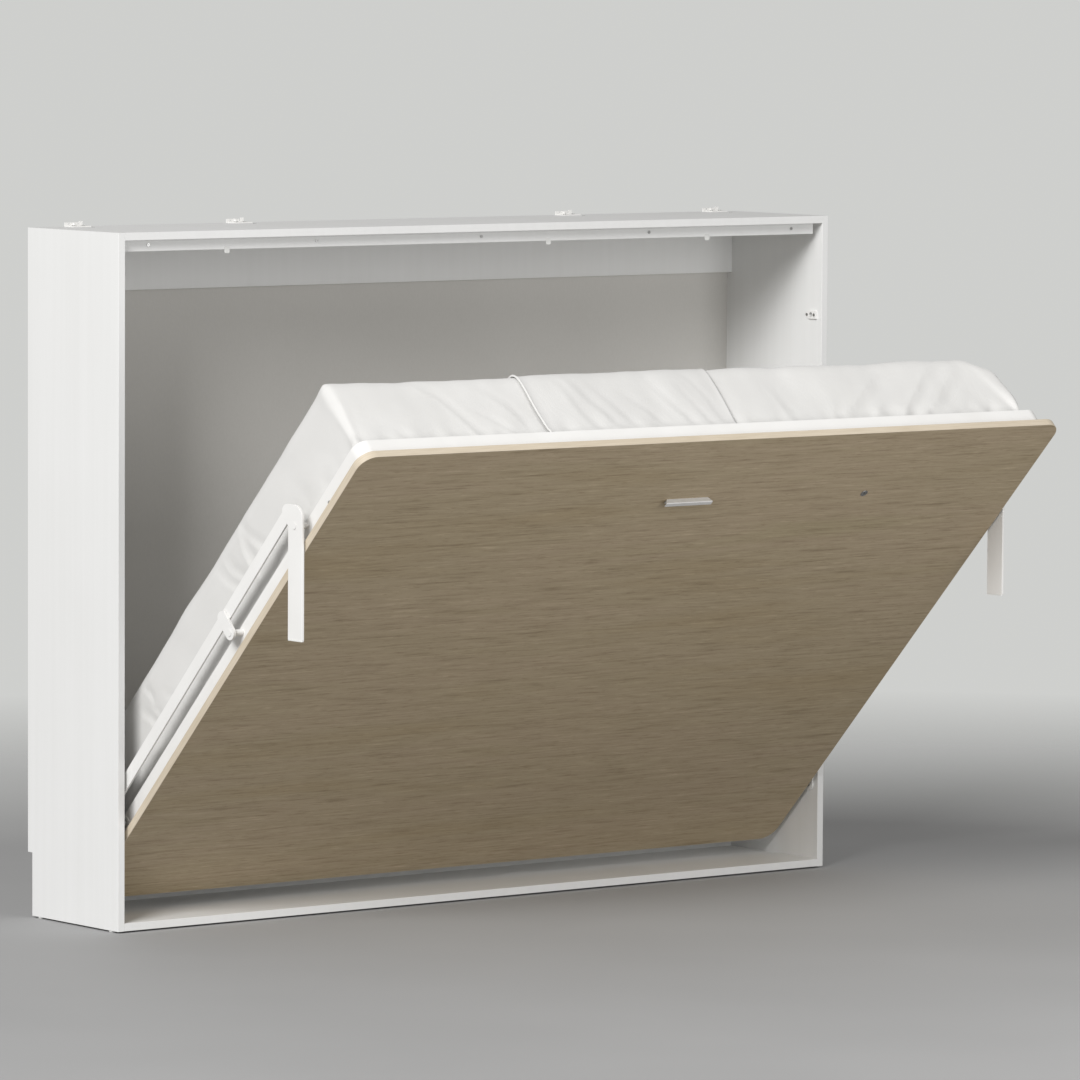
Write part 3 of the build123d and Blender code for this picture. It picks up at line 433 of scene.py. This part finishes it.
def soft_field(points, wavelength, stretch, seed, waves=14):
    """A smooth random field from about -1 to 1: a sum of waves, stretched by the factors in stretch."""
    draw = np.random.default_rng(seed)
    ways = draw.normal(size=(waves, 3))
    ways /= np.linalg.norm(ways, axis=1, keepdims=True)
    ways *= 2.0 * math.pi / wavelength * draw.uniform(0.6, 1.5, (waves, 1)) / np.array(stretch)
    phases = draw.uniform(0.0, 2.0 * math.pi, waves)
    return np.sin(points @ ways.T + phases).sum(axis=1) / math.sqrt(waves)


def fold(points, path, facing, width, height, fade=0.8, valley=0.6):
    """How far one soft fold lifts each point: a ridge along path, strongest near its first point, and a
    shallower valley on its one side. Facing is the outward direction of the face that it lies on."""
    path = np.array(path)
    facing = np.array(facing, float)
    runs = np.diff(path, axis=0)
    lengths = np.linalg.norm(runs, axis=1)
    ends = np.concatenate([[0.0], np.cumsum(lengths)])
    best = np.full(len(points), np.inf)
    side = np.zeros(len(points))
    along = np.zeros(len(points))
    for start, run, length, before in zip(path[:-1], runs, lengths, ends[:-1]):
        share = np.clip((points - start) @ run / length ** 2, 0.0, 1.0)
        away = points - start - share[:, None] * run
        distance = np.linalg.norm(away, axis=1)
        nearer = distance < best
        across = np.cross(run / length, facing)
        best = np.where(nearer, distance, best)
        side = np.where(nearer, np.sign(away @ across) * distance, side)
        along = np.where(nearer, (before + share * length) / ends[-1], along)
    ridge = np.exp(-(best / width) ** 2)
    trough = np.exp(-((side - 1.7 * width) / (1.1 * width)) ** 2) * np.exp(-(best / (4.0 * width)) ** 4)
    strength = (1.0 - along) ** fade * smooth_step(along, -0.12, 0.08)
    return height * strength * (ridge - valley * trough)


MATTRESS_LOW, MATTRESS_HIGH = bed_box("mattress")
LEFT, RIGHT = MATTRESS_LOW[0], MATTRESS_HIGH[0]
UNDER, SLEEPING = MATTRESS_LOW[1], MATTRESS_HIGH[1]
FOOT, HEAD = MATTRESS_LOW[2], MATTRESS_HIGH[2]
LONG_SIDE = (0.0, 0.0, 1.0)
END_LEFT = (-1.0, 0.0, 0.0)
END_RIGHT = (1.0, 0.0, 0.0)
VOXEL = 13 * MM
EDGE_RADIUS = 16 * MM
# What the block leaves of the mattress's box at its low and its high faces, for the cover to swell into.
ROOM_LOW = np.array([3 * MM, 0.0, 7 * MM])
ROOM_HIGH = np.array([7 * MM, 1 * MM, 2 * MM])


def on_long_side(x, depth):
    """A point on the mattress's upper long side: x along the bed, depth down from the sleeping face."""
    return (x, SLEEPING - depth, HEAD)


def on_left_end(down, depth):
    """A point on the mattress's left end: down from the upper long side, depth from the sleeping face."""
    return (LEFT, SLEEPING - depth, HEAD - down)


def on_right_end(down, depth):
    return (RIGHT, SLEEPING - depth, HEAD - down)


# Each fold: its path from its strong end, the face it lies on, its half width and its height.
LONG_SIDE_FOLDS = [
    ([(-0.63, 0.188), (-0.65, 0.147), (-0.685, 0.075), (-0.735, 0.03), (-0.81, 0.005)], 11 * MM, 4.5 * MM),
    ([(-0.54, 0.180), (-0.583, 0.135), (-0.635, 0.103)], 9 * MM, 3.5 * MM),
    ([(-0.50, 0.140), (-0.519, 0.103), (-0.561, 0.051), (-0.60, 0.03)], 12 * MM, 3.5 * MM),
    ([(-0.83, 0.190), (-0.86, 0.165), (-0.90, 0.15)], 12 * MM, 3 * MM),
    ([(0.27, 0.150), (0.262, 0.10), (0.255, 0.06)], 14 * MM, 3 * MM),
    ([(0.40, 0.190), (0.424, 0.145), (0.43, 0.11)], 12 * MM, 4 * MM),
    ([(0.41, 0.188), (0.468, 0.154), (0.549, 0.091), (0.637, 0.027)], 14 * MM, 6 * MM),
    ([(0.52, 0.188), (0.565, 0.150), (0.60, 0.135)], 12 * MM, 5.5 * MM),
    ([(0.605, 0.190), (0.665, 0.134), (0.74, 0.062), (0.821, 0.012)], 13 * MM, 8 * MM),
    ([(0.67, 0.190), (0.745, 0.137), (0.798, 0.087), (0.865, 0.037)], 14 * MM, 8 * MM),
    ([(0.76, 0.190), (0.80, 0.168), (0.831, 0.141)], 9 * MM, 5 * MM),
    ([(0.86, 0.190), (0.885, 0.160), (0.89, 0.13)], 10 * MM, 4 * MM),
    ([(0.962, 0.180), (0.963, 0.094), (0.95, 0.04), (0.92, 0.015)], 15 * MM, 6 * MM),
]
LEFT_END_FOLDS = [
    ([(0.440, 0.125), (0.467, 0.070), (0.478, 0.010)], 10 * MM, 6 * MM),
    ([(0.500, 0.128), (0.504, 0.071), (0.470, 0.0)], 12 * MM, 8 * MM),
    ([(0.548, 0.125), (0.573, 0.076), (0.572, 0.021)], 11 * MM, 7 * MM),
    ([(0.580, 0.125), (0.606, 0.081), (0.619, 0.030)], 11 * MM, 6 * MM),
    ([(0.954, 0.131), (0.981, 0.083)], 10 * MM, 4 * MM),
    ([(1.019, 0.060), (1.026, 0.025)], 9 * MM, 6 * MM),
    ([(1.022, 0.128), (1.030, 0.076)], 9 * MM, 5 * MM),
    ([(1.047, 0.129), (1.062, 0.089), (1.079, 0.049)], 10 * MM, 7 * MM),
    ([(1.20, 0.130), (1.18, 0.08), (1.17, 0.03)], 12 * MM, 4 * MM),
    ([(0.25, 0.150), (0.27, 0.09)], 14 * MM, 2.5 * MM),
]
RIGHT_END_FOLDS = [
    ([(0.20, 0.150), (0.22, 0.08), (0.21, 0.03)], 13 * MM, 5 * MM),
    ([(0.46, 0.150), (0.43, 0.09), (0.44, 0.02)], 12 * MM, 6 * MM),
    ([(0.55, 0.150), (0.56, 0.09), (0.54, 0.02)], 12 * MM, 6 * MM),
    ([(0.90, 0.150), (0.93, 0.09), (0.92, 0.03)], 13 * MM, 5 * MM),
    ([(1.15, 0.150), (1.12, 0.08), (1.13, 0.03)], 12 * MM, 6 * MM),
]


def lift_folds(points):
    """All the creases in the cover, as one outward lift for each point."""
    lift = np.zeros(len(points))
    for route, width, height in LONG_SIDE_FOLDS:
        lift += fold(points, [on_long_side(*p) for p in route], LONG_SIDE, width, height)
    for route, width, height in LEFT_END_FOLDS:
        lift += fold(points, [on_left_end(*p) for p in route], END_LEFT, width, height)
    for route, width, height in RIGHT_END_FOLDS:
        lift += fold(points, [on_right_end(*p) for p in route], END_RIGHT, width, height)
    gather = smooth_step(points[:, 1], UNDER + 70 * MM, UNDER + 10 * MM)
    lift += 2.0 * MM * gather * soft_field(points, 60 * MM, (1.0, 6.0, 1.0), seed=11)
    lift += 1.6 * MM * soft_field(points, 260 * MM, (1.0, 1.0, 1.0), seed=12)
    lift += 0.7 * MM * soft_field(points, 90 * MM, (1.0, 1.6, 1.3), seed=13)
    return lift


def lift_hospital_corner(points):
    """The tucked upper left corner: a narrow ridge down the corner with a shallow hollow beside it."""
    ridge = [(LEFT, SLEEPING, HEAD), (LEFT + 12 * MM, SLEEPING - 80 * MM, HEAD),
             (LEFT + 2 * MM, SLEEPING - 150 * MM, HEAD), (LEFT, UNDER, HEAD)]
    hollow = [on_left_end(22 * MM, 40 * MM), on_left_end(34 * MM, 110 * MM), on_left_end(30 * MM, 190 * MM)]
    diagonal = (-0.7, 0.0, 0.7)
    lift = fold(points, ridge, diagonal, 9 * MM, 9 * MM, fade=0.15, valley=0.3)
    return lift - fold(points, hollow, END_LEFT, 12 * MM, 2 * MM, fade=0.2, valley=0.0)


def round_right_corner(points):
    """The upper right corner of the mattress is slack, so it falls away in a wide curve."""
    end = smooth_step(points[:, 0], RIGHT - 125 * MM, RIGHT)
    upper = smooth_step(points[:, 2], HEAD - 520 * MM, HEAD - 60 * MM)
    thick = smooth_step(points[:, 1], UNDER + 40 * MM, SLEEPING)
    sunk = points.copy()
    sunk[:, 1] -= 46 * MM * end ** 1.4 * thick * (0.35 + 0.65 * upper)
    sunk[:, 0] -= 10 * MM * smooth_step(points[:, 1], UNDER + 60 * MM, SLEEPING) * end
    return sunk


def make_mattress():
    """The foam mattress in its fitted sheet, swollen by a cloth simulation and then creased."""
    low, high = MATTRESS_LOW + ROOM_LOW, MATTRESS_HIGH - ROOM_HIGH
    piece = rounded_block("fitted_mattress", low, high, EDGE_RADIUS, VOXEL)
    put_points(piece.data, round_right_corner(points_of(piece.data)))
    resting = points_of(piece.data)[:, 1] < UNDER + 8 * MM
    inflate(piece, resting, pressure=4.0, cap=12 * MM)
    subdivide(piece)
    points = points_of(piece.data)
    above = smooth_step(points[:, 1], UNDER + 2 * MM, UNDER + 14 * MM)
    lift = (lift_folds(points) + lift_hospital_corner(points)) * above
    put_points(piece.data, points + normals_of(piece.data) * lift[:, None])
    piece.data.transform(TURN)
    piece.data.materials.clear()
    piece.data.materials.append(materials["bed_sheet"])
    piece.data.shade_smooth()
    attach(piece, "bed")
    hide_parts("mattress")
    return piece


BAND_LOW, BAND_HIGH = bed_box("bedding_band")
BAND_STEP = 9 * MM
BAND_OFF = 3 * MM


def band_route():
    """The band's way round the mattress, seen along X: points with their outward directions."""
    out = 70 * MM
    corner = 50 * MM
    legs = []
    top, bottom = HEAD - corner, FOOT + corner
    face = SLEEPING - corner
    for y in np.arange(UNDER + 4 * MM, face, BAND_STEP):
        legs.append(((y, HEAD), (0.0, 1.0)))
    for turn in np.linspace(0.0, math.pi / 2.0, 12):
        way = (math.sin(turn), math.cos(turn))
        legs.append(((face + corner * way[0], top + corner * way[1]), way))
    for z in np.arange(top - BAND_STEP, bottom, -BAND_STEP):
        legs.append(((SLEEPING, z), (1.0, 0.0)))
    for turn in np.linspace(0.0, math.pi / 2.0, 12):
        way = (math.cos(turn), -math.sin(turn))
        legs.append(((face + corner * way[0], bottom + corner * way[1]), way))
    for y in np.arange(face, UNDER + 4 * MM, -BAND_STEP):
        legs.append(((y, FOOT), (0.0, -1.0)))
    return [((y + out * a, z + out * b), (a, b)) for (y, z), (a, b) in legs]


BAND_FOLDS = [
    ([(-0.30, 0.190), (-0.33, 0.130), (-0.345, 0.06), (-0.36, 0.01)], 10 * MM, 4.5 * MM),
    ([(-0.24, 0.190), (-0.275, 0.120), (-0.31, 0.05), (-0.33, 0.0)], 11 * MM, 4 * MM),
    ([(-0.19, 0.185), (-0.225, 0.110), (-0.27, 0.03)], 9 * MM, 3.5 * MM),
    ([(-0.10, 0.190), (-0.14, 0.135), (-0.20, 0.06)], 10 * MM, 4 * MM),
    ([(-0.02, 0.188), (-0.05, 0.140), (-0.085, 0.07), (-0.10, 0.02)], 9 * MM, 4.5 * MM),
    ([(0.03, 0.190), (0.0, 0.120), (-0.03, 0.05)], 8 * MM, 3.5 * MM),
    ([(0.07, 0.188), (0.055, 0.120), (0.03, 0.05), (0.0, 0.0)], 8 * MM, 3.5 * MM),
]


def make_band(mattress):
    """The cotton band round the middle of the mattress, laid on its cover, with a rolled left hem."""
    tree = BVHTree.FromPolygons([TURN.inverted() @ v.co for v in mattress.data.vertices],
                                [tuple(p.vertices) for p in mattress.data.polygons])
    route = band_route()
    across = np.linspace(BAND_LOW[0], BAND_HIGH[0], round((BAND_HIGH[0] - BAND_LOW[0]) / BAND_STEP) + 1)
    rows = []
    for (y, z), (out_y, out_z) in route:
        inward = Vector((0.0, -out_y, -out_z))
        row = []
        for x in across:
            hit = tree.ray_cast(Vector((x, y, z)), inward)[0]
            row.append(hit - inward * BAND_OFF)
        rows.append(row)
    mesh = bpy.data.meshes.new("bedding_band_cloth")
    wide = len(across)
    faces = [(r * wide + c, (r + 1) * wide + c, (r + 1) * wide + c + 1, r * wide + c + 1)
             for r in range(len(rows) - 1) for c in range(wide - 1)]
    mesh.from_pydata([p for row in rows for p in row], [], faces)
    mesh.update()
    piece = add_object("bedding_band_cloth", mesh)
    points = points_of(mesh)
    outward = np.array([(0.0, a, b) for _, (a, b) in route]).repeat(wide, axis=0)
    lift = sum(fold(points, [on_long_side(*p) for p in path], LONG_SIDE, width, height)
               for path, width, height in BAND_FOLDS)
    lift = np.maximum(lift, -1.5 * MM)
    lift += 1.2 * MM * (1.0 + soft_field(points, 120 * MM, (1.0, 2.0, 2.0), seed=21))
    edge = np.minimum(points[:, 0] - BAND_LOW[0], BAND_HIGH[0] - points[:, 0])
    lift += 2.5 * MM * np.exp(-(edge / (9 * MM)) ** 2)
    put_points(mesh, points + outward * lift[:, None])
    hem = make_hem("bedding_band_hem", points_of(mesh).reshape(len(rows), wide, 3)[:, 0])
    subdivide(piece)
    cloth = piece.modifiers.new("thickness", "SOLIDIFY")
    cloth.thickness = 1.2 * MM
    cloth.offset = 0.0
    apply_modifiers(piece)
    piece.data.transform(TURN)
    piece.data.materials.append(materials["bedding_band"])
    piece.data.shade_smooth()
    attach(piece, "bed")
    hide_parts("bedding_band")
    return piece


def make_hem(name, line):
    """The rolled hem: a slim round roll of cloth along the band's left edge, uneven as sewn cotton is."""
    radius, sides = 2.6 * MM, 10
    tangents = np.gradient(line, axis=0)
    tangents /= np.linalg.norm(tangents, axis=1, keepdims=True)
    sideways = np.array([1.0, 0.0, 0.0])
    rings = []
    for index, (centre, tangent) in enumerate(zip(line, tangents)):
        lifted = np.cross(sideways, tangent)
        lifted /= np.linalg.norm(lifted)
        size = radius * (1.0 + 0.12 * math.sin(1.9 * index) * math.sin(0.37 * index))
        for side in range(sides):
            turn = 2.0 * math.pi * side / sides
            rings.append(centre + size * (math.cos(turn) * sideways + math.sin(turn) * lifted))
    faces = [(r * sides + s, r * sides + (s + 1) % sides, (r + 1) * sides + (s + 1) % sides,
              (r + 1) * sides + s) for r in range(len(line) - 1) for s in range(sides)]
    ends = [list(range(sides))[::-1], [(len(line) - 1) * sides + s for s in range(sides)]]
    mesh = bpy.data.meshes.new(name)
    mesh.from_pydata([Vector(p) for p in rings], [], faces + ends)
    mesh.transform(TURN)
    mesh.materials.append(materials["bedding_band"])
    mesh.shade_smooth()
    hem = add_object(name, mesh)
    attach(hem, "bed")
    return hem


mattress_piece = make_mattress()
make_band(mattress_piece)


# ---------------------------------------------------------------- floor, light and camera

def make_floor():
    """A plain pale studio floor that melts into the background far from the bed."""
    mesh = bpy.data.meshes.new("studio_floor")
    half = 8.0
    mesh.from_pydata([(-half, -half, 0.0), (half, -half, 0.0), (half, half, 0.0), (-half, half, 0.0)], [],
                     [(0, 1, 2, 3)])
    material, tree, shader = start_material("floor_paint", 0.75)
    cloud = noise_value(tree, place(tree), 1.2, detail=2.0)
    join(tree, ramp(tree, cloud, [(0.3, rgba(0.345, 0.345, 0.345)), (0.7, rgba(0.365, 0.365, 0.365))]),
         shader.inputs["Base Color"])
    middle = add_node(tree, "ShaderNodeVectorMath", {"operation": "DISTANCE"})
    join(tree, place(tree), middle.inputs[0])
    middle.inputs[1].default_value = (-0.2, -1.3, 0.0)
    fade_start, fade_end = 2.6, 6.0
    solid = remap(tree, middle.outputs["Value"], 1.0, 0.0, from_low=fade_start, from_high=fade_end)
    clear = add_node(tree, "ShaderNodeBsdfTransparent")
    blended = add_node(tree, "ShaderNodeMixShader", Fac=solid)
    join(tree, clear.outputs["BSDF"], blended.inputs[1])
    join(tree, shader.outputs["BSDF"], blended.inputs[2])
    join(tree, blended.outputs["Shader"], tree.nodes["Material Output"].inputs["Surface"])
    mesh.materials.append(material)
    floor = add_object("studio_floor", mesh)


def add_light(name, target, direction, distance, size, power):
    """A soft square light, that far from its target, which it faces."""
    light = bpy.data.lights.new(name, "AREA")
    light.shape = "SQUARE"
    light.size = size
    light.energy = power
    lamp = bpy.data.objects.new(name, light)
    way = Vector(direction).normalized()
    lamp.location = Vector(target) + way * distance
    lamp.rotation_mode = "QUATERNION"
    lamp.rotation_quaternion = way.to_track_quat("Z", "Y")
    lamp.visible_camera = False
    bpy.context.scene.collection.objects.link(lamp)


def make_light():
    """An even pale room, seen brighter than it shines, a big soft light from the upper left front, and a
    small one in front of the door's upper edge."""
    world = bpy.data.worlds.new("studio")
    world.use_nodes = True
    tree = world.node_tree
    shining = tree.nodes["Background"]
    shining.inputs["Color"].default_value = rgba(1.0, 0.99, 0.975)
    shining.inputs["Strength"].default_value = 0.35
    seen = add_node(tree, "ShaderNodeBackground", Color=rgba(0.62, 0.625, 0.61), Strength=1.0)
    ray = add_node(tree, "ShaderNodeLightPath")
    both = add_node(tree, "ShaderNodeMixShader", Fac=ray.outputs["Is Camera Ray"])
    join(tree, shining.outputs["Background"], both.inputs[1])
    join(tree, seen.outputs["Background"], both.inputs[2])
    join(tree, both.outputs["Shader"], tree.nodes["World Output"].inputs["Surface"])
    bpy.context.scene.world = world
    middle = (cad_box[0] + cad_box[1]) / 2.0
    add_light("key", middle, direction=(-0.78, -0.37, 0.52), distance=15.0, size=6.0, power=2080.0)
    door_edge = (0.4, -1.0, 1.15)
    add_light("fill", door_edge, direction=(0.12, -0.98, 0.10), distance=3.6, size=2.4, power=58.0)


def make_camera():
    """A long lens at the left front, a little above the bed and turned towards +X and down."""
    yaw, pitch, roll = math.radians(37.733), math.radians(-4.659), math.radians(0.310)
    ahead = Vector((math.sin(yaw) * math.cos(pitch), math.cos(yaw) * math.cos(pitch), math.sin(pitch)))
    level = Vector((math.cos(yaw), -math.sin(yaw), 0.0))
    upward = level.cross(ahead)
    right = level * math.cos(roll) + upward * math.sin(roll)
    up = upward * math.cos(roll) - level * math.sin(roll)
    data = bpy.data.cameras.new("camera")
    data.sensor_width = 36.0
    data.lens = 246.09
    data.clip_start = 0.1
    data.clip_end = 200.0
    camera = bpy.data.objects.new("camera", data)
    turn = Matrix((right, up, -ahead)).transposed().to_4x4()
    spot = (-10.551, -14.033, 2.276)
    camera.matrix_world = Matrix.Translation(spot) @ turn
    bpy.context.scene.collection.objects.link(camera)
    bpy.context.scene.camera = camera


make_floor()
make_light()
make_camera()
bpy.context.scene.view_settings.view_transform = "Standard"
